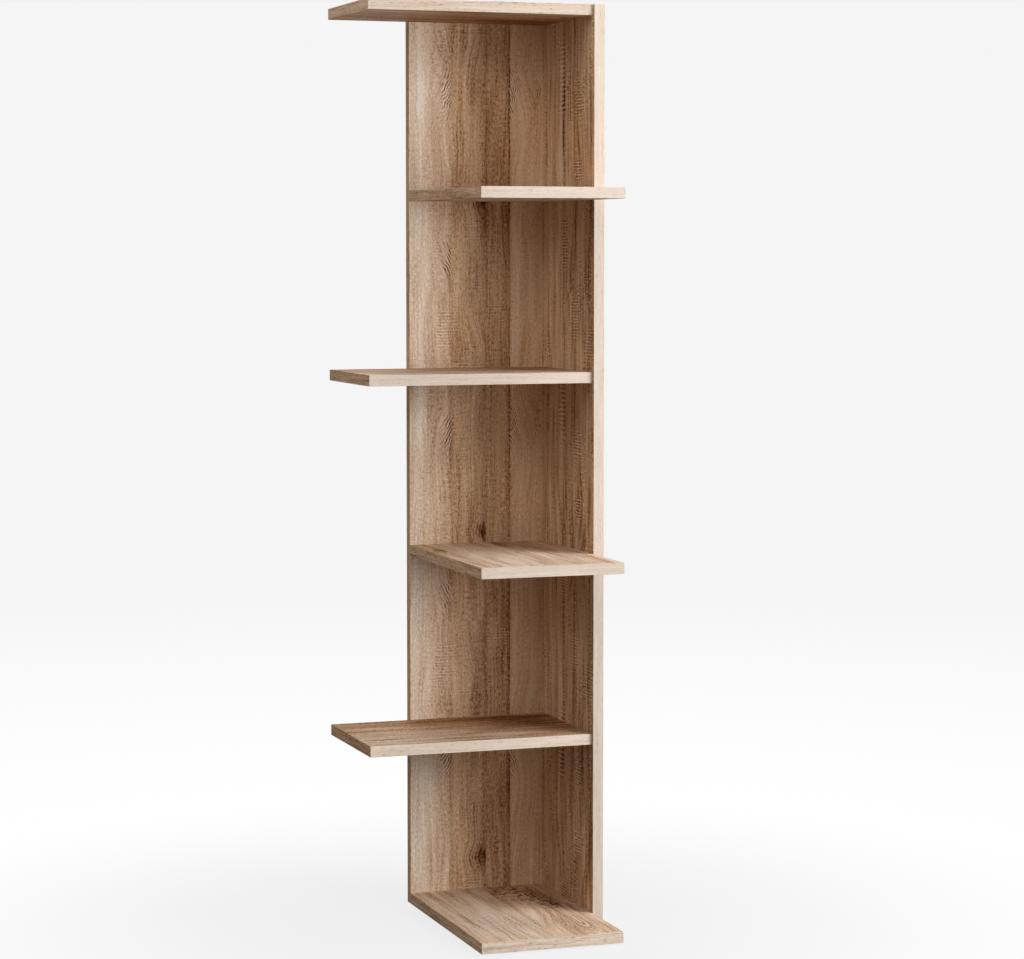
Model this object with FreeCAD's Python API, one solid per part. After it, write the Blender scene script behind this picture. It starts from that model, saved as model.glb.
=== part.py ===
"""Corner bookshelf: an L-shaped spine of two upright boards with six shelves.

Millimetres, +Z up.  The origin is on the floor under the centre of the rectangle
that the boards cover.  The wall is at +Y, the side panel stands at +X, and the
shelves reach out to -X and to -Y by turns.
"""

import FreeCAD, Part
import math
import os

Vector = FreeCAD.Vector

# ---------------------------------------------------------------- boards
board = 18.0  # thickness of every laminated chipboard
inner_width = 242.0  # back panel, from its free left edge to the side panel
inner_depth = 242.0  # side panel, from its front edge to the back panel
left_reach = 140.0  # shelves 1, 3, 5: how far they stand out past the back panel
front_reach = 140.0  # shelves 2, 4, 6: how far they stand out past the side panel
front_setback = 6.0  # shelves 1, 3, 5 stop this far behind the side panel's front
shelf_pitch = 300.0  # from one shelf to the next
shelf_count = 6
band = 0.8  # thickness of the edge band strips
arris = 0.5  # round along the outer edges of the bands

# ---------------------------------------------------------------- connector screws
screw_length = 50.0
screw_sink = 0.2  # flat of the head below the board's face
screw_head_radius = 5.0
screw_head_rim = 1.2  # straight rim of the countersunk head
screw_shank_radius = 3.5
screw_shank_length = 9.0  # plain stretch below the head's cone
screw_core_radius = 2.5
screw_thread_pitch = 3.0
screw_tip_length = 4.0
screw_end_gap = 3.0  # free bore beyond the tip
bore_clearance = 0.1  # radial, round the head, the shank and the thread's crests
hex_across_flats = 4.0
hex_depth = 4.0
crossing_gap = 16.2  # wood between the two rows of screws that cross in the corner

# ---------------------------------------------------------------- beech dowels
dowel_radius = 4.0
dowel_length = 30.0
dowel_in_panel = 11.0  # the rest of the length is in the other board's edge
dowel_end_gap = 0.7
dowel_chamfer = 1.0
dowel_clearance = 0.05
dowel_drop = 32.0  # below its screw, where the two panels are joined

# ---------------------------------------------------------------- cover caps
cap_radius = 6.5
cap_height = 1.2
cap_round = 0.7
cap_stem_radius = 1.8
cap_stem_length = 3.0

# ---------------------------------------------------------------- nailed glides
glide_height = 3.0
glide_margin = 1.0  # the pad is narrower than a panel by this on each side
glide_round = 0.8
glide_inset = 26.0  # pad centres, in from the edges of the bottom shelf and panels
glide_recess = 1.6  # from the pad's underside up to the seat of the nail's head
nail_radius = 1.0
nail_head_radius = 2.6
nail_head_height = 0.8
nail_grip = 11.0  # length of the nail in the board
nail_tip_length = 2.0
nail_clearance = 0.05

# ---------------------------------------------------------------- wall hangers
hanger_drop = 75.0  # plate centres below the top of the panels
hanger_length = 50.0
hanger_width = 20.0
hanger_thickness = 2.0
hanger_fit = 0.3  # gap all round the plate in its pocket
keyhole_radius = 5.0  # entry for the head of the wall screw
keyhole_slot_width = 5.0
keyhole_rise = 11.0  # from the centre of the entry to the upper end of the slot
head_room_margin = 1.5  # the room behind the keyhole is this much wider all round
head_room_depth = 11.0  # from the panel's rear face
hanger_screw_inset = 6.0  # screw centres, in from the plate's ends
hanger_screw_length = 13.0
hanger_screw_sink = 0.1
hanger_screw_radius = 1.75
hanger_screw_core_radius = 1.2
hanger_screw_pitch = 1.4
hanger_screw_head_radius = 3.3
hanger_screw_tip_length = 3.0
hanger_screw_clearance = 0.1
cross_width = 0.9  # arms of the cross recess
cross_span = 3.4
cross_depth = 1.2

# ---------------------------------------------------------------- overall places
left_shelf_length = inner_width + left_reach
front_shelf_length = inner_depth + front_reach
panel_height = (shelf_count - 1) * shelf_pitch + board

corner_x = (left_shelf_length - board) / 2  # inner face of the side panel
corner_y = (front_shelf_length - board) / 2  # front face of the back panel
outer_x = corner_x + board
rear_y = corner_y + board
panel_left_x = corner_x - inner_width
panel_front_y = corner_y - inner_depth
left_shelf_end_x = corner_x - left_shelf_length
front_shelf_end_y = corner_y - front_shelf_length
base_z = glide_height
top_z = base_z + panel_height

# The sides of a board: which axis they face along, and which end of it they are.
AXES = "xyz"
SIDES = {
    "left": ("x", "low"),
    "right": ("x", "high"),
    "front": ("y", "low"),
    "back": ("y", "high"),
    "bottom": ("z", "low"),
    "top": ("z", "high"),
}

# Ways in which the fasteners are driven.
FORWARDS = Vector(0, -1, 0)  # from the wall side
LEFTWARDS = Vector(-1, 0, 0)  # from the side panel's outer face
UPWARDS = Vector(0, 0, 1)

SHELVES = range(1, shelf_count + 1)  # from the top down


def shelf_top(number):
    return top_z - (number - 1) * shelf_pitch


def shelf_middle(number):
    return shelf_top(number) - board / 2


def reaches_left(number):
    return number % 2 == 1


# ---------------------------------------------------------------- drawing helpers
def block(low, high):
    """A box between two corners."""
    size = [high[axis] - low[axis] for axis in range(3)]
    return Part.makeBox(*size, Vector(*low))


def turned(outline):
    """Spin a closed outline of (radius, height) points about Z."""
    points = [Vector(radius, 0, height) for radius, height in outline]
    face = Part.Face(Part.makePolygon(points + points[:1]))
    return face.revolve(Vector(0, 0, 0), Vector(0, 0, 1), 360)


def placed(shape, point, direction):
    """Copy a shape drawn along +Z to a point, with its +Z along a direction."""
    copy = shape.copy()
    copy.Placement = FreeCAD.Placement(point, FreeCAD.Rotation(UPWARDS, direction))
    return copy


def at_all(shape, places):
    """A copy of a shape at each (point, direction)."""
    return [placed(shape, point, direction) for point, direction in places]


def closed_edges(shape, lowest, highest):
    """The round edges that lie between two heights."""
    edges = []
    for edge in shape.Edges:
        box = edge.BoundBox
        if edge.Closed and box.ZMin >= lowest and box.ZMax <= highest:
            edges.append(edge)
    return edges


def thread_outline(core, crest, start, end, pitch):
    """Ridges of a thread, each with a narrow flat crest, from start to end."""
    turns = max(1, round((end - start) / pitch))
    step = (end - start) / turns
    crest_flat = step / 10
    outline = []
    for turn in range(turns):
        middle = start + (turn + 0.5) * step
        outline.append((core, start + turn * step))
        outline.append((crest, middle - crest_flat / 2))
        outline.append((crest, middle + crest_flat / 2))
    return outline + [(core, end)]


# ---------------------------------------------------------------- boards and bands
def on_side(edge, side, low, high):
    """Whether an edge of the box between two corners lies on one of its sides."""
    letter, end = SIDES[side]
    axis = AXES.index(letter)
    plane = low[axis] if end == "low" else high[axis]
    return all(abs(vertex.Point[axis] - plane) < arris / 2 for vertex in edge.Vertexes)


def finished_outline(low, high, banded, butted):
    """A board with its bands on: banded sides have an arris, butted ones are square."""
    outline = block(low, high)
    rounded = []
    for edge in outline.Edges:
        is_banded = any(on_side(edge, side, low, high) for side in banded)
        is_butted = any(on_side(edge, side, low, high) for side in butted)
        if is_banded and not is_butted:
            rounded.append(edge)
    return outline.makeFillet(arris, rounded)


def banded_board(name, low, high, banded, butted=()):
    """A board's core and its edge bands, cut from the board's finished outline.

    Each band in the list covers the ends of the bands that come after it.
    """
    outline = finished_outline(low, high, banded, butted)
    low, high = list(low), list(high)
    pieces = {}
    for side in banded:
        letter, end = SIDES[side]
        axis = AXES.index(letter)
        strip_low, strip_high = list(low), list(high)
        if end == "low":
            low[axis] += band
            strip_high[axis] = low[axis]
        else:
            high[axis] -= band
            strip_low[axis] = high[axis]
        pieces[f"{name}_{side}_band"] = outline.common(block(strip_low, strip_high))
    pieces[name] = outline.common(block(low, high))
    return pieces


def back_panel():
    low = (panel_left_x, corner_y, base_z)
    high = (corner_x, rear_y, top_z)
    return banded_board("back_panel", low, high, ("left", "top", "bottom"), ("right",))


def side_panel():
    low = (corner_x, panel_front_y, base_z)
    high = (outer_x, rear_y, top_z)
    return banded_board("side_panel", low, high, ("front", "back", "top", "bottom"))


def left_shelf(number):
    """Lies across the back panel, with its right end against the side panel."""
    low = (left_shelf_end_x, panel_front_y + front_setback, shelf_top(number) - board)
    high = (corner_x, corner_y, shelf_top(number))
    return banded_board(f"shelf_{number}", low, high, ("front", "back", "left"), ("right",))


def front_shelf(number):
    """Lies along the side panel, with its rear end against the back panel."""
    low = (panel_left_x, front_shelf_end_y, shelf_top(number) - board)
    high = (corner_x, corner_y, shelf_top(number))
    return banded_board(f"shelf_{number}", low, high, ("left", "right", "front"), ("back",))


def all_boards():
    pieces = {**back_panel(), **side_panel()}
    for number in SHELVES:
        pieces.update(left_shelf(number) if reaches_left(number) else front_shelf(number))
    return pieces


def drilled(piece, cutters):
    """Cut from a piece every bore and pocket that comes near it."""
    near = [cutter for cutter in cutters if cutter.BoundBox.intersect(piece.BoundBox)]
    return piece.cut(near) if near else piece


# ---------------------------------------------------------------- connector screw
# Drawn along +Z, from the face that it is driven into.
screw_cone_length = screw_head_radius - screw_shank_radius  # 90 degree countersink
screw_reach = screw_sink + screw_length - board  # past the panel, into the next board
row_inset = screw_reach + screw_shank_radius + bore_clearance + crossing_gap


def connector_screw():
    rim_end = screw_sink + screw_head_rim
    shank_start = rim_end + screw_cone_length
    thread_start = shank_start + screw_shank_length
    tip = screw_sink + screw_length
    outline = [(0, screw_sink), (screw_head_radius, screw_sink), (screw_head_radius, rim_end)]
    outline += [(screw_shank_radius, shank_start), (screw_shank_radius, thread_start)]
    outline += thread_outline(
        screw_core_radius,
        screw_shank_radius,
        thread_start,
        tip - screw_tip_length,
        screw_thread_pitch,
    )
    outline.append((0, tip))
    return turned(outline).cut(hexagon_socket())


def hexagon_socket():
    corner_radius = hex_across_flats / 2 / math.cos(math.pi / 6)
    points = []
    for corner in range(7):
        angle = corner * math.pi / 3
        across, along = corner_radius * math.cos(angle), corner_radius * math.sin(angle)
        points.append(Vector(across, along, screw_sink))
    return Part.Face(Part.makePolygon(points)).extrude(Vector(0, 0, hex_depth))


def connector_bore():
    """Counterbore, countersink, clearance hole and pilot hole for one screw."""
    wall = screw_shank_radius + bore_clearance
    mouth = screw_head_radius + bore_clearance
    cone_start = screw_sink + screw_head_rim - bore_clearance
    depth = screw_sink + screw_length + screw_end_gap
    outline = [(0, 0), (mouth, 0), (mouth, cone_start)]
    outline += [(wall, cone_start + mouth - wall), (wall, depth), (0, depth)]
    return turned(outline)


# ---------------------------------------------------------------- dowel
# Drawn along +Z from the same face as the screws, though it is buried deeper.
dowel_start = board - dowel_in_panel


def dowel():
    end = dowel_start + dowel_length
    neck = dowel_radius - dowel_chamfer
    outline = [(0, dowel_start), (neck, dowel_start), (dowel_radius, dowel_start + dowel_chamfer)]
    outline += [(dowel_radius, end - dowel_chamfer), (neck, end), (0, end)]
    return turned(outline)


def dowel_bore():
    start = Vector(0, 0, dowel_start - dowel_end_gap)
    length = dowel_length + 2 * dowel_end_gap
    return Part.makeCylinder(dowel_radius + dowel_clearance, length, start)


# ---------------------------------------------------------------- cover cap
# Drawn along +Z out of the board's face; its stem stands in the screw's hexagon.
def cover_cap():
    disc = Part.makeCylinder(cap_radius, cap_height)
    disc = disc.makeFillet(cap_round, closed_edges(disc, cap_height / 2, cap_height * 2))
    stem = Part.makeCylinder(cap_stem_radius, cap_stem_length, Vector(0, 0, -cap_stem_length))
    return disc.fuse(stem).removeSplitter()


# ---------------------------------------------------------------- glide
# Drawn along +Z from the floor.
glide_radius = board / 2 - glide_margin


def glide_pad():
    pad = Part.makeCylinder(glide_radius, glide_height)
    pad = pad.makeFillet(glide_round, closed_edges(pad, -glide_height, glide_height / 2))
    recess = Part.makeCylinder(nail_head_radius + nail_clearance, glide_recess)
    hole = Part.makeCylinder(nail_radius + nail_clearance, glide_height)
    return pad.cut([recess, hole])


def glide_nail():
    head_start = glide_recess - nail_head_height
    tip = glide_height + nail_grip
    outline = [(0, head_start), (nail_head_radius, head_start), (nail_head_radius, glide_recess)]
    outline += [(nail_radius, glide_recess), (nail_radius, tip - nail_tip_length), (0, tip)]
    return turned(outline)


def nail_bore():
    return Part.makeCylinder(nail_radius + nail_clearance, glide_height + nail_grip)


# ---------------------------------------------------------------- wall hanger
# Drawn along +Z from the panel's rear face, with +Y upwards on the wall.
keyhole_entry_y = -keyhole_rise / 2
keyhole_slot_end_y = keyhole_rise / 2
hanger_screw_ys = (
    hanger_screw_inset - hanger_length / 2,
    hanger_length / 2 - hanger_screw_inset,
)


def round_ended_slab(length, width, depth):
    """A slab from z = 0, with half-round ends, long in Y."""
    straight = length - width
    slab = block((-width / 2, -straight / 2, 0), (width / 2, straight / 2, depth))
    ends = []
    for y in (-straight / 2, straight / 2):
        ends.append(Part.makeCylinder(width / 2, depth, Vector(0, y, 0)))
    return slab.fuse(ends).removeSplitter()


def keyhole():
    """A round entry with a narrow slot that rises from it."""
    half_slot = keyhole_slot_width / 2
    entry = Part.makeCylinder(keyhole_radius, hanger_thickness, Vector(0, keyhole_entry_y, 0))
    slot = block(
        (-half_slot, keyhole_entry_y, 0), (half_slot, keyhole_slot_end_y, hanger_thickness)
    )
    slot_end = Part.makeCylinder(half_slot, hanger_thickness, Vector(0, keyhole_slot_end_y, 0))
    return entry.fuse([slot, slot_end]).removeSplitter()


def hanger_screw_hole():
    """Countersunk hole through the plate for one of its own screws."""
    wall = hanger_screw_radius + hanger_screw_clearance
    mouth = hanger_screw_head_radius + hanger_screw_sink
    outline = [(0, 0), (mouth, 0), (wall, mouth - wall)]
    outline += [(wall, hanger_thickness), (0, hanger_thickness)]
    return turned(outline)


def hanger_plate():
    plate = round_ended_slab(hanger_length, hanger_width, hanger_thickness)
    holes = at_all(hanger_screw_hole(), [(Vector(0, y, 0), UPWARDS) for y in hanger_screw_ys])
    return plate.cut([keyhole()] + holes)


def cross_recess():
    half_width, half_span = cross_width / 2, cross_span / 2
    floor = hanger_screw_sink + cross_depth
    across = block((-half_span, -half_width, 0), (half_span, half_width, floor))
    along = block((-half_width, -half_span, 0), (half_width, half_span, floor))
    return across.fuse(along)


def hanger_screw():
    cone_end = hanger_screw_sink + hanger_screw_head_radius - hanger_screw_radius
    outline = [(0, hanger_screw_sink), (hanger_screw_head_radius, hanger_screw_sink)]
    outline.append((hanger_screw_radius, cone_end))
    outline += thread_outline(
        hanger_screw_core_radius,
        hanger_screw_radius,
        hanger_thickness,
        hanger_screw_length - hanger_screw_tip_length,
        hanger_screw_pitch,
    )
    outline.append((0, hanger_screw_length))
    return turned(outline).cut(cross_recess())


def hanger_pocket():
    """What is cut from the back panel for one plate, its screws and a wall screw."""
    seat = round_ended_slab(
        hanger_length + 2 * hanger_fit, hanger_width + 2 * hanger_fit, hanger_thickness
    )
    room_width = 2 * (keyhole_radius + head_room_margin)
    head_room = round_ended_slab(keyhole_rise + room_width, room_width, head_room_depth)
    wall = hanger_screw_radius + hanger_screw_clearance
    pilots = []
    for y in hanger_screw_ys:
        pilots.append(Part.makeCylinder(wall, hanger_screw_length, Vector(0, y, 0)))
    return seat.fuse([head_room] + pilots).removeSplitter()


# ---------------------------------------------------------------- fastener places
# A place is a point on the outer face and the way in which the piece is driven.
def back_rows():
    """X of the two screws that hold a shelf to the back panel."""
    return (panel_left_x + row_inset, corner_x - row_inset)


def side_rows(number):
    """Y of the two screws that hold a shelf to the side panel."""
    joint_front = panel_front_y + (front_setback if reaches_left(number) else 0)
    return (joint_front + row_inset, corner_y - row_inset)


def back_screw_places():
    places = []
    for number in SHELVES:
        for x in back_rows():
            places.append((Vector(x, rear_y, shelf_middle(number)), FORWARDS))
    return places


def back_dowel_places():
    x = sum(back_rows()) / 2
    return [(Vector(x, rear_y, shelf_middle(number)), FORWARDS) for number in SHELVES]


def side_screw_places():
    places = []
    for number in SHELVES:
        for y in side_rows(number):
            places.append((Vector(outer_x, y, shelf_middle(number)), LEFTWARDS))
    return places


def side_dowel_places():
    places = []
    for number in SHELVES:
        y = sum(side_rows(number)) / 2
        places.append((Vector(outer_x, y, shelf_middle(number)), LEFTWARDS))
    return places


def panel_joint_places(drop):
    """Side panel to back panel: one in each space, below its middle by a drop."""
    places = []
    for number in SHELVES[:-1]:
        height = shelf_middle(number) - shelf_pitch / 2 - drop
        places.append((Vector(outer_x, corner_y + board / 2, height), LEFTWARDS))
    return places


def cap_places():
    screws = side_screw_places() + panel_joint_places(0)
    return [(point, LEFTWARDS * -1) for point, _ in screws]


def glide_places():
    """Four under the bottom shelf and one under each panel."""
    left_x, right_x = panel_left_x + glide_inset, corner_x - glide_inset
    front_y, back_y = front_shelf_end_y + glide_inset, corner_y - glide_inset
    spots = [(x, y) for x in (left_x, right_x) for y in (front_y, back_y)]
    spots.append((left_x, corner_y + board / 2))
    spots.append((corner_x + board / 2, rear_y - glide_inset))
    return [(Vector(x, y, 0), UPWARDS) for x, y in spots]


def hanger_places():
    return [(Vector(x, rear_y, top_z - hanger_drop), FORWARDS) for x in back_rows()]


def hanger_screw_places():
    places = []
    for point, direction in hanger_places():
        for y in hanger_screw_ys:
            places.append((point + Vector(0, 0, y), direction))
    return places


# ---------------------------------------------------------------- the assembly
def hardware():
    screw, peg = connector_screw(), dowel()
    return {
        "back_to_shelf_screws": at_all(screw, back_screw_places()),
        "side_to_shelf_screws": at_all(screw, side_screw_places()),
        "side_to_back_screws": at_all(screw, panel_joint_places(0)),
        "back_to_shelf_dowels": at_all(peg, back_dowel_places()),
        "side_to_shelf_dowels": at_all(peg, side_dowel_places()),
        "side_to_back_dowels": at_all(peg, panel_joint_places(dowel_drop)),
        "screw_caps": at_all(cover_cap(), cap_places()),
        "glide_pads": at_all(glide_pad(), glide_places()),
        "glide_nails": at_all(glide_nail(), glide_places()),
        "wall_hanger_plates": at_all(hanger_plate(), hanger_places()),
        "wall_hanger_screws": at_all(hanger_screw(), hanger_screw_places()),
    }


def bores_and_pockets():
    screw_places = back_screw_places() + side_screw_places() + panel_joint_places(0)
    dowel_places = back_dowel_places() + side_dowel_places() + panel_joint_places(dowel_drop)
    cutters = at_all(connector_bore(), screw_places)
    cutters += at_all(dowel_bore(), dowel_places)
    cutters += at_all(nail_bore(), glide_places())
    return cutters + at_all(hanger_pocket(), hanger_places())


def export(name, shapes):
    """Write one node: a single solid, or a group of separate ones."""
    solids = [solid for shape in shapes for solid in shape.Solids]
    node = solids[0] if len(solids) == 1 else Part.makeCompound(solids)
    node.exportStep(f"parts/{name}.step")


os.makedirs("parts", exist_ok=True)
cutters = bores_and_pockets()
for name, piece in all_boards().items():
    export(name, [drilled(piece, cutters)])
for name, copies in hardware().items():
    export(name, copies)
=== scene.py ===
"""Corner bookshelf: a spine of two oak-decor boards that carries six shelves.

Metres, +Z up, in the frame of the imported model.  The wall is at +Y, the side panel
stands at +X, and the shelves reach out to -X and to -Y by turns.
"""

import math

import bpy
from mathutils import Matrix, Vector


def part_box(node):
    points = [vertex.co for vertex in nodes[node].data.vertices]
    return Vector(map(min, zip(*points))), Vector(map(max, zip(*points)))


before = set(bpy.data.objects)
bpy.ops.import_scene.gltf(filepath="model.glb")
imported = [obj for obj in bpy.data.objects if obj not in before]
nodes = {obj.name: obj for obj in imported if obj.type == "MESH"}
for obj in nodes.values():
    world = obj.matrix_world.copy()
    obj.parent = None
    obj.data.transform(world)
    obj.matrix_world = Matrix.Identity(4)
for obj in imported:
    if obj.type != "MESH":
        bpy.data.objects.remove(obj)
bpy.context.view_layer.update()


# ------------------------------------------------------------------ the spine
# Two uprights of 18 mm chipboard, butted at a right angle with screws and dowels.
# Their faces carry paper printed as sawn oak: strips as in a glued panel, each with
# its own tone, with the grain upwards, and the same figure again every 563 mm.
class Reading:
    """What a socket gives at each point of a surface; sums on it add Math nodes."""

    def __init__(self, socket):
        self.socket = socket

    def node(self, kind, settings, inputs, output=None):
        """Add a node: its settings come first, then the values or links of its sockets."""
        added = self.socket.id_data.nodes.new("ShaderNode" + kind)
        for name, value in settings.items():
            if name == "stops":
                set_stops(added.color_ramp, value)
            elif name == "spread":
                added.color_ramp.interpolation = value
            else:
                setattr(added, name, value)
        open_inputs = [socket for socket in added.inputs if socket.enabled]
        for name, value in inputs.items():
            same_name = [socket for socket in open_inputs if socket.name == name]
            socket = same_name[0] if same_name else added.inputs[name]
            if isinstance(value, Reading):
                socket.id_data.links.new(value.socket, socket)
            else:
                socket.default_value = value
        if output is None:
            return Reading([socket for socket in added.outputs if socket.enabled][0])
        return Reading(added.outputs[output])

    def maths(self, operation, *others):
        return self.node("Math", {"operation": operation}, dict(enumerate((self, *others))))

    def __add__(self, other):
        return self.maths("ADD", other)

    def __mul__(self, other):
        return self.maths("MULTIPLY", other)

    def __sub__(self, other):
        return self.maths("SUBTRACT", other)

    def __rsub__(self, other):
        return self * -1 + other

    def __truediv__(self, other):
        return self.maths("DIVIDE", other)

    __radd__ = __add__
    __rmul__ = __mul__

    def share(self):
        """What is left of this reading over its last whole number."""
        return self.maths("FRACT")

    def rise(self, start, end):
        """Goes smoothly from 0 to 1 as this reading goes from start to end."""
        ends = {"Value": self, "From Min": start, "From Max": end}
        return self.node("MapRange", {"interpolation_type": "SMOOTHSTEP"}, ends)

    def between(self, first, second):
        """The mix of two colours that has this share of the second one."""
        return self.node("Mix", {"data_type": "RGBA"}, {"Factor": self, "A": first, "B": second})

    def tinted(self, stops):
        return self.node("ValToRGB", {"stops": stops}, {"Fac": self}, 0)

    def bumped(self, strength, distance):
        """A surface raised by this reading; distance is in metres."""
        return self.node("Bump", {}, {"Height": self, "Strength": strength, "Distance": distance})


def set_stops(ramp, stops):
    """Give a colour ramp its stops: (place, colour) pairs."""
    while len(ramp.elements) > 1:
        ramp.elements.remove(ramp.elements[-1])
    ramp.elements[0].position = stops[0][0]
    for place, _ in stops[1:]:
        ramp.elements.new(place)
    for element, (_, color) in zip(ramp.elements, stops):
        element.color = color


def paint(red, green, blue):
    """A colour named as a screen shows it, 0 to 255, in the light that shaders use."""
    linear = []
    for part in (red, green, blue):
        share = part / 255
        linear.append(share / 12.92 if share <= 0.04045 else ((share + 0.055) / 1.055) ** 2.4)
    return (*linear, 1)


def new_finish(name, sockets):
    """A material and its shader, with the values that are the same all over."""
    material = bpy.data.materials.new(name)
    material.use_nodes = True
    shader = material.node_tree.nodes["Principled BSDF"]
    for socket, value in sockets.items():
        shader.inputs[socket].default_value = value
    return material, shader


def place_in(material):
    """The point of the object that is being shaded, and its X, Y and Z."""
    coordinates = material.node_tree.nodes.new("ShaderNodeTexCoord")
    point = Reading(coordinates.outputs["Object"])
    parts = point.node("SeparateXYZ", {}, {"Vector": point}).socket.node
    return point, [Reading(socket) for socket in parts.outputs]


def connect(shader, sockets):
    for name, value in sockets.items():
        shader.id_data.links.new(value.socket, shader.inputs[name])


def dress(node, material):
    nodes[node].data.materials.clear()
    nodes[node].data.materials.append(material)


def lie(node):
    """A board's axes by number: through its thickness, across its grain, along it."""
    low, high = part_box(node)
    return sorted(range(3), key=lambda axis: high[axis] - low[axis])


def grain(across, along, seed, cells_across, cells_along, detail=2.0):
    """Noise drawn out along the grain, from -0.5 to 0.5, with so many cells a metre."""
    cells = {"X": across * cells_across, "Y": along * cells_along, "Z": seed}
    point = across.node("CombineXYZ", {}, cells)
    noise = point.node("TexNoise", {}, {"Vector": point, "Scale": 1.0, "Detail": detail}, 0)
    return noise - 0.5


def spread(across, along, spot):
    """Squared distance from the middle of a spot, 1 on its rim."""
    middle_across, middle_along, half_width, half_length = spot
    a = (across - middle_across) / half_width
    b = (along - middle_along) / half_length
    return a * a + b * b


def bell(across, along, spot):
    """1 in the middle of a spot, fading to nearly 0 at twice its size."""
    return (spread(across, along, spot) * -1).maths("EXPONENT")


WARM_OAK = (
    (0.00, paint(86, 42, 18)),
    (0.25, paint(150, 104, 67)),
    (0.50, paint(206, 166, 128)),
    (0.75, paint(230, 194, 156)),
    (1.00, paint(244, 222, 196)),
)
# Grey tones of the print, also used for a painted sheen where the lamps fall.
GREY_OAK_AND_SHEEN = (
    (0.00, paint(92, 58, 40)),
    (0.25, paint(150, 118, 94)),
    (0.50, paint(200, 174, 150)),
    (0.75, paint(222, 203, 184)),
    (1.00, paint(240, 230, 218)),
)
CHIPBOARD = (
    (0.0, paint(126, 97, 66)),
    (0.5, paint(176, 146, 108)),
    (1.0, paint(212, 186, 148)),
)
LADDER_PITCH = 0.0052  # from one saw mark to the next
RING_PITCH = 0.0052  # from one ring line to the next
FLAME_PITCH = 0.010  # from one stroke of a flame to the next
WANDER = 0.022  # how far the grain's long waves carry its lines sideways
RIPPLE = 0.010  # the same for its short waves
FLAME_CURVE = 40  # how fast a flame's strokes turn steeper away from its middle
KNOT_PUSH = 0.6  # the share of their way to a knot's middle that the lines keep off
RUNG_SLANT = 0.004  # how far the saw marks wobble along the board


def rungs(along, ragged, pitch):
    """Marks across the grain at an even pitch: lighter ones above 0, the rest just below."""
    rung = ((along + ragged * RUNG_SLANT) / pitch).share()
    return rung.rise(0.50, 0.70) * (1 - rung.rise(0.80, 0.98)) - 0.25


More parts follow.
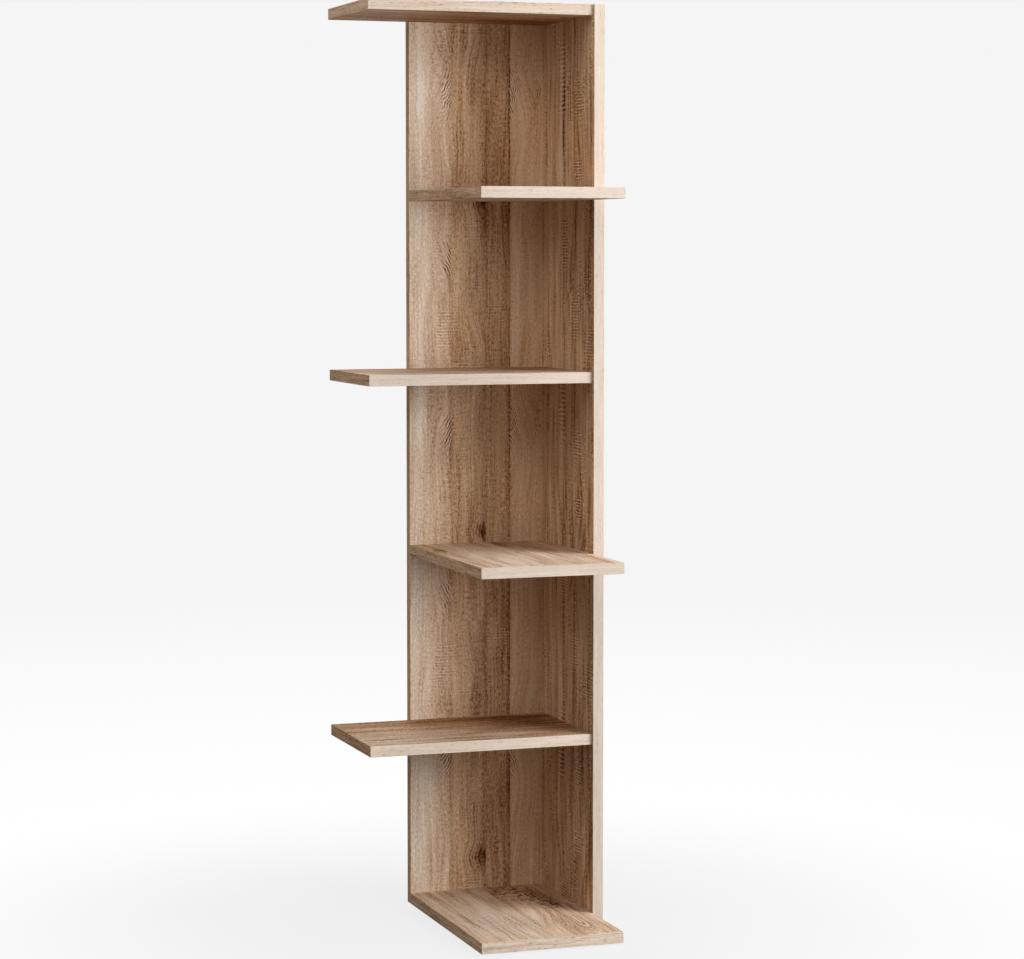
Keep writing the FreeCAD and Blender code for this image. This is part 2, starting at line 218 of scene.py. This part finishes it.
def oak_print(across, along, again, seed, figure):
    """The print's tone (0 to 1), its greyness, and how deep its pores are.

    The figure's places are read from across and again, the finer grain from along.
    A spot is its middle across and along the grain, then its half width and half length.
    strips        where each starts, its tone and greyness, and a number for its own grain
    flames        a spot, its lean and depth, and the edges of the strip that it stays in
    knots         a spot, its depth, and the edge of the strip that cuts it off
    burls         a spot and its depth
    tongues       middle and tip of nested arches, how fast they widen, their half width
    ladders       a spot of saw marks, their pitch and how far they stand out
    patches       a spot and how much lighter it is: some print, some painted shade or sheen
    grey_patches  a spot and how much greyer it is: a painted sheen
    contrast, lift and sawn hold for the whole board.
    """
    stops = []
    for start, tone, greyness, own_grain in figure["strips"]:
        stops.append((start, (tone, greyness, own_grain, 1)))
    settings = {"stops": stops, "spread": "CONSTANT"}
    strip = across.node("ValToRGB", settings, {"Fac": across}, 0)
    tone = strip.node("SeparateColor", {}, {"Color": strip}, 0)
    greyness = Reading(tone.socket.node.outputs[1])
    seed = Reading(tone.socket.node.outputs[2]) * 40 + seed

    # Where the grain's lines run: they wander, lean in flames and part round knots.
    drift = grain(across, along, seed, 9, 2.2)
    wave = grain(across, along, seed + 1, 45, 16, 1)
    line = across + drift * WANDER + wave * RIPPLE
    ring_depth = grain(across, along, seed + 5, 25, 5).rise(-0.05, 0.25) * 0.16
    marks = 0.0
    uneven = grain(across, along, seed + 43, 60, 75, 1)
    broken = grain(across, along, seed + 47, 110, 50, 1).rise(-0.14, 0.12) * 0.8 + 0.2
    for spot, lean, depth, start, end in figure.get("flames", ()):
        inside = across.maths("GREATER_THAN", start) * across.maths("LESS_THAN", end)
        middle_across, middle_along, half_width, half_length = spot
        leaning = (middle_across, middle_along, half_width * 2.5, half_length * 2)
        line = line - (again - middle_along) * bell(across, again, leaning) * inside * lean
        beside = across - middle_across
        bent = beside / lean + beside * beside * math.copysign(FLAME_CURVE, lean)
        stroke = ((again - bent) / FLAME_PITCH + drift * 4 + uneven * 1.8).share()
        dark = stroke.rise(0.15, 0.70) * (1 - stroke.rise(0.78, 1.0))
        stroke = (0.32 - dark) * bell(across, again, spot) * inside
        marks = marks + stroke * broken * depth
    for spot, depth, end in figure.get("knots", ()):
        inside = across.maths("LESS_THAN", end)
        middle_across, middle_along, half_width, half_length = spot
        pushed = (middle_across, middle_along, half_width * 2, half_length * 1.3)
        here = bell(across, again, pushed) * inside
        line = line - (across - middle_across) * here * KNOT_PUSH
        ring_depth = ring_depth + here * 0.25
        rim = grain(across, along, seed + 19, 90, 60, 2) * 2.2
        dark = ((spread(across, again, spot) + rim) * -1).maths("EXPONENT")
        marks = marks - dark * inside * depth
    for spot, depth in figure.get("burls", ()):
        curl = grain(across, along, seed + 41, 60, 40, 2).maths("ABSOLUTE")
        marks = marks + (curl.rise(0.01, 0.07) - 0.7) * bell(across, again, spot) * depth
    for middle, tip, slope, half_width in figure.get("tongues", ()):
        beside = across - middle
        past = (again - tip).maths("MINIMUM", 0.0) * slope
        reach = (beside * beside + past * past).maths("SQRT")
        inside = 1 - reach.rise(half_width * 0.7, half_width)
        line = line + inside * (reach - line)
        ring_depth = ring_depth + inside * 0.25

    cloud = grain(across, along, seed + 9, 26, 7)
    broad = grain(line, along, seed, 75, 2.0)
    streak = grain(line, along, seed + 3, 260, 9, 3)
    dash = grain(line, along, seed + 7, 500, 160, 2)
    fine = grain(line, along, seed + 13, 1100, 420, 1)
    pore = grain(line, along, seed + 11, 780, 110, 1).rise(0.08, 0.22)
    fleck = grain(line, along, seed + 17, 650, 130, 1).rise(0.06, 0.24)
    rings = (line / RING_PITCH + drift * 3 + cloud).share()
    late_wood = rings.rise(0.30, 0.92) * (1 - rings.rise(0.92, 1.0))
    bands = cloud * 0.34 + broad * 0.46 + streak * 0.50
    tone = tone + bands * figure.get("contrast", 1.0) + dash * 0.85 + fine * 0.45 + marks
    tone = tone + figure.get("lift", 0.0) - pore * 0.12 + fleck * 0.14
    tone = tone - late_wood * ring_depth
    # Spots lighter or darker: print on some boards, painted shade or a painted sheen on others.
    for spot, lift in figure.get("patches", ()):
        tone = tone + bell(across, again, spot) * lift
    # Spots painted greyer: a painted sheen where the lamps fall.
    for spot, amount in figure.get("grey_patches", ()):
        greyness = greyness + bell(across, again, spot) * amount

    # Marks that the saw left across the grain: scattered ones, and ladders of them.
    ragged = grain(across, along, seed + 23, 60, 180, 1)
    scratch = grain(across, along, seed + 29, 75, 420, 1)
    sawn = grain(across, along, seed + 31, 40, 9, 1).rise(-0.04, 0.16)
    laddered = grain(across, along, seed + 37, 55, 12, 1).rise(0.10, 0.22)
    laddered = laddered * rungs(along, ragged, LADDER_PITCH)
    tone = tone + scratch * sawn * figure.get("sawn", 0.55) + laddered * 0.20
    for spot, pitch, lift in figure.get("ladders", ()):
        middle_across, middle_along, half_width, half_length = spot
        a = ((across - middle_across) / half_width).maths("ABSOLUTE") + ragged * 2.2
        b = ((again - middle_along) / half_length).maths("ABSOLUTE")
        ladder = (1 - a.rise(0.7, 1.0)) * (1 - b.rise(0.7, 1.0))
        tone = tone + ladder * rungs(along, ragged, pitch) * lift
    return tone, greyness, pore


MATT = 0.02  # the share of a plain surface's sheen that the decor and the bands have
CHIPS = 420.0  # chips a metre on a bare cut edge
SKIN = 0.0001  # what lies nearer to a board's outer plane than this is faced


def dress_board(node, figure, seed):
    """Face a board with the print; the places in it are metres from the low corner."""
    material, shader = new_finish("oak_decor_" + node, {"Specular IOR Level": MATT})
    point, axes = place_in(material)
    thick, wide, long = lie(node)
    low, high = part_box(node)
    half = (high[thick] - low[thick]) / 2
    depth = axes[thick] - (low[thick] + half)
    across = axes[wide] - low[wide]
    along = axes[long] - low[long]
    again = along
    if "repeat" in figure:
        length, start = figure["repeat"]
        again = ((along + start) / length).share() * length
    face_seed = depth.maths("SIGN") * 5 + seed  # each face has a grain of its own
    tone, greyness, pore = oak_print(across, along, again, face_seed, figure)
    # Painted shade: a board's underside can be painted darker than its top.
    if "underside" in figure:
        tone = tone + depth.maths("LESS_THAN", 0.0) * figure["underside"]
    oak = greyness.between(tone.tinted(WARM_OAK), tone.tinted(GREY_OAK_AND_SHEEN))
    chip = point.node("TexVoronoi", {}, {"Vector": point, "Scale": CHIPS}, 1)
    chip = chip.node("SeparateColor", {}, {"Color": chip}, 0)
    faced = depth.maths("ABSOLUTE").maths("GREATER_THAN", half - SKIN)
    connect(shader, {
        "Base Color": faced.between(chip.tinted(CHIPBOARD), oak),
        "Roughness": 0.52 + pore * 0.2,
        "Normal": (0.5 - pore * faced + tone * 0.4).bumped(0.3, 0.0002),
    })
    dress(node, material)


PRINT_REPEAT = (0.563, 0.080)  # length of the print's figure, and where it starts
dress_board("back_panel", {
    "repeat": PRINT_REPEAT,
    "contrast": 1.25,
    "strips": (
        # The first strip's greyness is in part a painted sheen along the left edge.
        (0.0, 0.575, 0.50, 0.1),
        (0.074, 0.52, 0.15, 0.3),
        (0.135, 0.49, 0.0, 0.5),
        (0.177, 0.76, 0.0, 0.7),
        (0.235, 0.62, 0.0, 0.9),
    ),
    # Painted sheen: the left edge painted greyer.
    "grey_patches": (((0.010, 0.280, 0.030, 1.0), 0.40),),
    "flames": (
        ((0.067, 0.331, 0.010, 0.034), 0.50, 1.00, 0.0, 0.074),
        ((0.184, 0.335, 0.011, 0.042), -0.45, 1.20, 0.177, 0.235),
        ((0.126, 0.507, 0.012, 0.040), -0.35, 0.20, 0.074, 0.135),
        ((0.066, 0.052, 0.009, 0.030), -0.50, 0.90, 0.0, 0.074),
        ((0.229, 0.345, 0.008, 0.034), -0.35, 1.00, 0.177, 0.235),
    ),
    "knots": (((0.134, 0.153, 0.016, 0.013), 0.32, 0.135),),
    "patches": (
        # The first spot is a painted sheen, the left edge painted lighter; the rest are print.
        ((0.010, 0.280, 0.026, 1.0), 0.16),
        ((0.072, 0.280, 0.004, 1.0), -0.14),
        ((0.131, 0.140, 0.005, 0.050), -0.12),
        ((0.135, 0.280, 0.004, 1.0), -0.10),
        ((0.178, 0.280, 0.004, 1.0), -0.16),
        ((0.160, 0.200, 0.020, 0.060), -0.06),
    ),
    "ladders": (
        ((0.061, 0.498, 0.017, 0.038), LADDER_PITCH, 0.22),
        ((0.113, 0.105, 0.016, 0.024), LADDER_PITCH, 0.18),
        ((0.151, 0.532, 0.014, 0.010), LADDER_PITCH, 0.22),
        ((0.105, 0.440, 0.034, 0.006), LADDER_PITCH, 0.22),
    ),
}, seed=0.0)
dress_board("side_panel", {
    "repeat": PRINT_REPEAT,
    "contrast": 2.0,
    "sawn": 1.4,
    "strips": (
        (0.0, 0.50, 0.0, 0.2),
        (0.035, 0.53, 0.0, 0.4),
        (0.092, 0.55, 0.0, 0.6),
        (0.136, 0.65, 0.0, 0.8),
        (0.198, 0.68, 0.0, 0.95),
    ),
    "flames": (
        ((0.150, 0.200, 0.014, 0.045), 0.25, 0.35, 0.136, 0.198),
        ((0.122, 0.080, 0.014, 0.045), -0.25, 0.35, 0.092, 0.136),
        ((0.056, 0.155, 0.012, 0.038), -0.40, 0.90, 0.035, 0.092),
    ),
    "patches": (
        ((0.143, 0.280, 0.006, 1.0), -0.24),
        ((0.095, 0.280, 0.006, 1.0), -0.10),
        ((0.160, 0.350, 0.010, 0.200), 0.06),
    ),
    "ladders": (
        ((0.150, 0.360, 0.016, 0.070), LADDER_PITCH * 1.5, 0.55),
        ((0.022, 0.480, 0.024, 0.030), LADDER_PITCH, 0.40),
        ((0.072, 0.312, 0.020, 0.026), LADDER_PITCH, 0.40),
        ((0.072, 0.203, 0.016, 0.020), LADDER_PITCH, 0.55),
        ((0.090, 0.520, 0.020, 0.040), LADDER_PITCH, 0.35),
        ((0.140, 0.080, 0.018, 0.050), LADDER_PITCH, 0.45),
    ),
}, seed=13.0)

# ------------------------------------------------------------------ the shelves
# Six shelves of the same faced chipboard, screwed and dowelled to both uprights.
# The print runs along each shelf's length: sideways on 1, 3 and 5, forwards on the rest.
SIDEWAYS_FIGURE = {
    "contrast": 1.6,
    "strips": (
        (0.0, 0.60, 0.30, 0.15),
        (0.047, 0.58, 0.20, 0.35),
        (0.118, 0.48, 0.0, 0.55),
        (0.190, 0.46, 0.0, 0.75),
    ),
    "flames": (((0.080, 0.200, 0.020, 0.060), 0.25, 0.35, 0.047, 0.118),),
    "patches": (
        ((0.055, 0.045, 0.007, 0.035), -0.20),
        # Painted shade: the top darker towards its right end, by the side panel.
        ((0.150, 0.310, 0.130, 0.110), -0.15),
    ),
    # Painted sheen: the front of the top at the left end greyer, where the lamps fall.
    "grey_patches": (((0.040, 0.060, 0.120, 0.200), 0.60),),
    "ladders": (((0.150, 0.120, 0.016, 0.030), LADDER_PITCH, 0.3),),
}
# Shelf 1's underside is painted darker: painted shade.
dress_board("shelf_1", SIDEWAYS_FIGURE | {"underside": -0.15, "grey_patches": ()}, seed=17.0)
dress_board("shelf_3", SIDEWAYS_FIGURE | {"lift": 0.02}, seed=51.0)
# Shelf 5 is painted darker all over: painted shade, low down under the shelves above.
dress_board("shelf_5", SIDEWAYS_FIGURE | {"lift": -0.11}, seed=85.0)
LEFT_KNOT_FIGURE = {
    "contrast": 1.6,
    "strips": (
        (0.0, 0.54, 0.20, 0.25),
        (0.027, 0.61, 0.50, 0.45),
        (0.100, 0.60, 0.30, 0.65),
        (0.200, 0.59, 0.20, 0.85),
    ),
    # Painted sheen: the front of the top greyer, where the lamps fall.
    "grey_patches": (((0.120, 0.090, 0.200, 0.140), 0.60),),
    "flames": (((0.018, 0.250, 0.012, 0.050), 0.28, 0.45, 0.0, 0.027),),
    "knots": (((0.022, 0.270, 0.006, 0.022), 0.26, 0.027),),
    "patches": (
        ((0.080, 0.080, 0.014, 0.120), 0.08),
        ((0.148, 0.350, 0.010, 0.070), -0.26),
        ((0.140, 0.350, 0.040, 0.060), -0.06),
        # Painted light: the lit front of the top a little darker.
        ((0.120, 0.040, 0.200, 0.110), -0.06),
    ),
}
dress_board("shelf_2", LEFT_KNOT_FIGURE, seed=34.0)
dress_board("shelf_4", LEFT_KNOT_FIGURE, seed=68.0)
dress_board("shelf_6", {
    "contrast": 1.6,
    "strips": (
        (0.0, 0.59, 0.40, 0.25),
        (0.042, 0.62, 0.50, 0.45),
        (0.125, 0.60, 0.15, 0.65),
        (0.215, 0.60, 0.25, 0.85),
    ),
    # Painted sheen: the front of the top greyer, where the lamps fall.
    "grey_patches": (((0.120, 0.090, 0.200, 0.140), 0.60),),
    "flames": (((0.150, 0.120, 0.030, 0.080), 0.20, 0.35, 0.125, 0.215),),
    "burls": (
        ((0.165, 0.320, 0.040, 0.070), 0.60),
        ((0.195, 0.240, 0.018, 0.036), 0.60),
    ),
    "tongues": ((0.200, 0.090, 0.20, 0.016),),
    "patches": (
        # Dark round the burls: the burls' print, and in part painted shade at the back of the
        # shelf.
        ((0.168, 0.320, 0.042, 0.064), -0.16),
        ((0.200, 0.235, 0.012, 0.030), -0.16),
        # Painted light: the lit front of the top a little darker.
        ((0.120, 0.040, 0.200, 0.110), -0.06),
    ),
}, seed=102.0)

# ------------------------------------------------------------------ edge bands
# 0.8 mm oak band, glued round the boards' cut edges and trimmed, its grain lengthwise.
# The front edges are painted paler and greyer than the other edges, a painted sheen. A few
# bands are painted lighter or darker by height as painted light and shade; two are streakier.
# The front bands' pale, grey tones are a painted sheen of the lamps in front.
SHEEN_PAINTED_BAND = (
    (0.0, paint(146, 120, 102)),
    (0.35, paint(202, 183, 165)),
    (0.7, paint(218, 203, 189)),
    (1.0, paint(230, 219, 207)),
)


def band_finish(name, tones, middle, contrast, long):
    """The finish of a band that runs along one axis, given by its number."""
    material, shader = new_finish(name, {"Specular IOR Level": MATT})
    _, axes = place_in(material)
    along = axes.pop(long)
    across = axes[0] + axes[1] * 0.97  # either of them may be the band's width
    drift = grain(across, along, 1.0, 20, 3)
    line = across + drift * 0.006
    broad = grain(line, along, 5.0, 140, 5)
    streak = grain(line, along, 3.0, 520, 16, 3)
    dash = grain(line, along, 11.0, 800, 120, 2)
    fleck = grain(line, along, 7.0, 620, 70, 1).rise(0.12, 0.22)
    tone = middle + (broad * 0.7 + streak * 0.8 + dash * 0.6 - fleck * 0.35) * contrast
    connect(shader, {
        "Base Color": tone.tinted(tones),
        "Roughness": 0.52 + fleck * 0.15,
        "Normal": (1 - fleck + streak).bumped(0.25, 0.0002),
    })
    return material


STREAKY_BAND = (
    (0.0, paint(140, 98, 70)),
    (0.35, paint(196, 165, 139)),
    (0.7, paint(224, 204, 185)),
    (1.0, paint(236, 223, 208)),
)
COMMON_ROLL = (WARM_OAK, 0.56, 1.2)  # a roll's tones, its middle tone and its contrast
SHEEN_PAINTED_ROLL = (SHEEN_PAINTED_BAND, 0.60, 0.8)
# Painted light and shade by height: the top shelf's left band lighter, the fifth's darker, the top
# front band darker and the two lowest front bands lighter. Those two are also streakier.
OTHER_ROLLS_AND_PAINTED_LIGHT = {
    "shelf_1_left_band": (WARM_OAK, 0.74, 1.2),
    "shelf_5_left_band": (WARM_OAK, 0.44, 1.2),
    "shelf_1_front_band": (SHEEN_PAINTED_BAND, 0.42, 0.8),
    "shelf_5_front_band": (STREAKY_BAND, 0.75, 0.8),
    "shelf_6_front_band": (STREAKY_BAND, 0.66, 1.3),
}
band_finishes = {}
for name in nodes:
    if name.endswith("_band"):
        long = lie(name)[2]
        kind, look = "oak_band_" + "xyz"[long], COMMON_ROLL
        # Front bands get the painted sheen.
        if name.endswith("front_band"):
            kind, look = "pale_" + kind, SHEEN_PAINTED_ROLL
        if name in OTHER_ROLLS_AND_PAINTED_LIGHT:
            kind, look = "oak_decor_" + name, OTHER_ROLLS_AND_PAINTED_LIGHT[name]
        if kind not in band_finishes:
            band_finishes[kind] = band_finish(kind, *look, long)
        dress(name, band_finishes[kind])

# ------------------------------------------------------------------ connector screws
# Zinc-plated steel screws with a countersunk head and a hexagon socket.  They hold the
# shelves to both uprights and the uprights to each other, flush with the outer faces.


def zinc_finish(name):
    """Bright zinc: a faint mottle, and fine scratches in all directions."""
    material, shader = new_finish(name, {"Metallic": 1.0})
    point, _ = place_in(material)
    mottle = point.node("TexNoise", {}, {"Vector": point, "Scale": 260.0, "Detail": 3.0}, 0)
    worn = point.node("TexNoise", {}, {"Vector": point, "Scale": 2400.0, "Detail": 2.0}, 0)
    tone = mottle * 0.7 + worn * 0.3
    zinc = ((0.3, paint(164, 166, 170)), (0.7, paint(206, 207, 208)))
    connect(shader, {
        "Base Color": tone.tinted(zinc),
        "Roughness": 0.24 + worn * 0.2,
        "Normal": worn.bumped(0.15, 0.00005),
    })
    return material


zinc = zinc_finish("zinc_steel")
for name in ("back_to_shelf_screws", "side_to_shelf_screws", "side_to_back_screws"):
    dress(name, zinc)

# ------------------------------------------------------------------ beech dowels
# Turned beech pegs glued into both boards beside the screws.  They keep the shelves and
# the uprights from turning on each other.
BEECH = ((0.2, paint(176, 126, 84)), (0.5, paint(208, 164, 120)), (0.8, paint(226, 188, 148)))
DOWEL_AXES = {"back_to_shelf_dowels": 1, "side_to_shelf_dowels": 0, "side_to_back_dowels": 0}
for name, long in DOWEL_AXES.items():
    material, shader = new_finish("beech_" + name, {"IOR": 1.45})
    _, axes = place_in(material)
    along = axes.pop(long)
    across = axes[0] + axes[1] * 0.6  # a slant through both, so that the grain differs round a peg
    streak = grain(across, along, 2.0, 900, 40, 2)
    ray = grain(across, along, 4.0, 1600, 420, 1).rise(0.12, 0.25)
    tone = 0.5 + streak * 0.8 - ray * 0.3
    connect(shader, {
        "Base Color": tone.tinted(BEECH),
        "Roughness": 0.62 + ray * 0.1,
        "Normal": streak.bumped(0.3, 0.0001),
    })
    dress(name, material)

# ------------------------------------------------------------------ cover caps
# Moulded plastic caps in the screws' sockets on the side panel's outer face, tinted
# to the decor.
material, shader = new_finish("cap_plastic", {"IOR": 1.5})
point, _ = place_in(material)
moulded = point.node("TexNoise", {}, {"Vector": point, "Scale": 3000.0, "Detail": 2.0}, 0)
connect(shader, {
    "Base Color": moulded.tinted(((0.3, paint(188, 156, 126)), (0.7, paint(202, 170, 140)))),
    "Roughness": 0.42 + moulded * 0.12,
    "Normal": moulded.bumped(0.2, 0.00005),
})
dress("screw_caps", material)

# ------------------------------------------------------------------ glides
# Dark moulded plastic pads under the bottom shelf and the uprights.  Each is nailed up
# through a recess in its middle, so that the zinc-plated head stays off the floor.
material, shader = new_finish("glide_plastic", {"IOR": 1.5})
point, _ = place_in(material)
moulded = point.node("TexNoise", {}, {"Vector": point, "Scale": 2200.0, "Detail": 3.0}, 0)
connect(shader, {
    "Base Color": moulded.tinted(((0.3, paint(52, 42, 36)), (0.7, paint(66, 55, 48)))),
    "Roughness": 0.45 + moulded * 0.15,
    "Normal": moulded.bumped(0.25, 0.0001),
})
dress("glide_pads", material)
dress("glide_nails", zinc)

# ------------------------------------------------------------------ wall hangers
# Two zinc-plated keyhole plates let into the back panel's rear face, each held by two
# countersunk screws with a cross recess.
dress("wall_hanger_plates", zinc_finish("zinc_plate"))
dress("wall_hanger_screws", zinc)

# ------------------------------------------------------------------ the floor
# A plain pale floor that fades into the background and keeps the shelf's shadow.  It
# looks pale, but throws little light up at the undersides.
BACKDROP = 0.91


def looked_at(tree):
    """1 for rays that see a surface, straight or by reflection, 0 for light that it throws."""
    rays = tree.nodes.new("ShaderNodeLightPath")
    seen = Reading(rays.outputs["Is Camera Ray"])
    for kind in ("Is Glossy Ray", "Is Transmission Ray"):
        seen = seen.maths("MAXIMUM", Reading(rays.outputs[kind]))
    return seen


FLOOR_RADIUS = 6.0
SEEN_FLOOR = (0.35, 0.35, 0.35, 1)
UNSEEN_FLOOR = (0.08, 0.08, 0.08, 1)  # dark, so that it throws little light upwards
NEAR_GLOW = (1.0, 1.0, 1.0, 1)
FAR_GLOW = (BACKDROP, BACKDROP, BACKDROP, 1)
GLOW_SHARE = 0.80  # what the glow adds to the picture near the shelf; the rest takes the shadow
bpy.ops.object.select_all(action="DESELECT")
bpy.ops.mesh.primitive_circle_add(
    vertices=96, radius=FLOOR_RADIUS, fill_type="NGON", location=(0, 0, 0)
)
floor = bpy.context.object
floor.name = "floor"
material, shader = new_finish("pale_floor", {"Roughness": 0.9})
tree = material.node_tree
point, _ = place_in(material)
distance = point.node("VectorMath", {"operation": "LENGTH"}, {"Vector": point}, 1)
seen = looked_at(tree)
connect(shader, {"Base Color": seen.between(UNSEEN_FLOOR, SEEN_FLOOR)})
glow = distance.rise(0.6, 5.6).between(NEAR_GLOW, FAR_GLOW)
glow = glow.node("Emission", {}, {"Color": glow}, 0)
factor = seen * (GLOW_SHARE + distance.rise(0.2, 1.2) * (1 - GLOW_SHARE))
surface = factor.node("MixShader", {}, {0: factor, 1: Reading(shader.outputs[0]), 2: glow}, 0)
tree.links.new(surface.socket, tree.nodes["Material Output"].inputs["Surface"])
floor.data.materials.append(material)

# ------------------------------------------------------------------ the light
# Soft lamps, most of their light from the front right, with a fill from the left and
# one from behind, and a pale surround.
world = bpy.data.worlds.new("studio")
bpy.context.scene.world = world
world.use_nodes = True
tree = world.node_tree
background = tree.nodes["Background"]
background.inputs["Color"].default_value = (1, 1, 1, 1)
AMBIENT = 0.21
strength = AMBIENT + looked_at(tree) * (BACKDROP - AMBIENT)
tree.links.new(strength.socket, background.inputs["Strength"])

LAMP_TARGET = Vector((0, 0, 0.85))
LAMP_SIZE = 1.0


def add_lamp(name, azimuth, elevation, level, distance=2.9):
    """A round soft lamp aimed at the shelf; level 1 lights white to full white.

    Azimuth 0 is in front and 90 on the right, in degrees; distance is in metres.
    """
    azimuth = math.radians(azimuth)
    elevation = math.radians(elevation)
    flat = math.cos(elevation)
    towards = Vector((math.sin(azimuth) * flat, -math.cos(azimuth) * flat, math.sin(elevation)))
    place = LAMP_TARGET + towards * distance
    bpy.ops.object.light_add(type="AREA", location=place)
    lamp = bpy.context.object
    lamp.name = name
    lamp.data.shape = "DISK"
    lamp.data.size = LAMP_SIZE
    lamp.data.energy = level * (math.pi * distance) ** 2
    lamp.rotation_euler = (-towards).to_track_quat("-Z", "Y").to_euler()
    lamp.visible_camera = False
    return lamp


add_lamp("front_lamp", 15, -8, 0.10)
add_lamp("key_lamp", 36, 6, 0.54)
add_lamp("high_front_lamp", -5, 32, 0.08)
add_lamp("right_lamp", 54, 20, 0.33)
add_lamp("top_lamp", 54, 68, 0.45)
add_lamp("low_left_lamp", -65, 24, 0.10)
add_lamp("high_left_lamp", -65, 50, 0.12, 2.2)
back_lamp = add_lamp("back_lamp", 175, 6, 0.55)
back_lamp.visible_glossy = False  # no glare along the edges that face it

# ------------------------------------------------------------------ the camera
# It stands at the front left, a little above the middle of the shelf, and looks almost
# level.  Its shift moves the picture without tilting the uprights.
PIXELS_WIDE = 1024
FOCAL_PIXELS = 2910.5
SHIFT_PIXELS = -30
SENSOR_WIDTH = 36.0
TILT_DOWN = 3.95
TURN_RIGHT = 19.16
camera = bpy.data.cameras.new("camera")
camera.sensor_width = SENSOR_WIDTH
camera.lens = FOCAL_PIXELS * SENSOR_WIDTH / PIXELS_WIDE
camera.shift_y = SHIFT_PIXELS / PIXELS_WIDE
eye = bpy.data.objects.new("camera", camera)
eye.location = (-1.5122, -4.5266, 1.1236)
eye.rotation_euler = (math.radians(90 - TILT_DOWN), 0, math.radians(-TURN_RIGHT))
bpy.context.scene.collection.objects.link(eye)
bpy.context.scene.camera = eye
bpy.context.scene.view_settings.view_transform = "Standard"
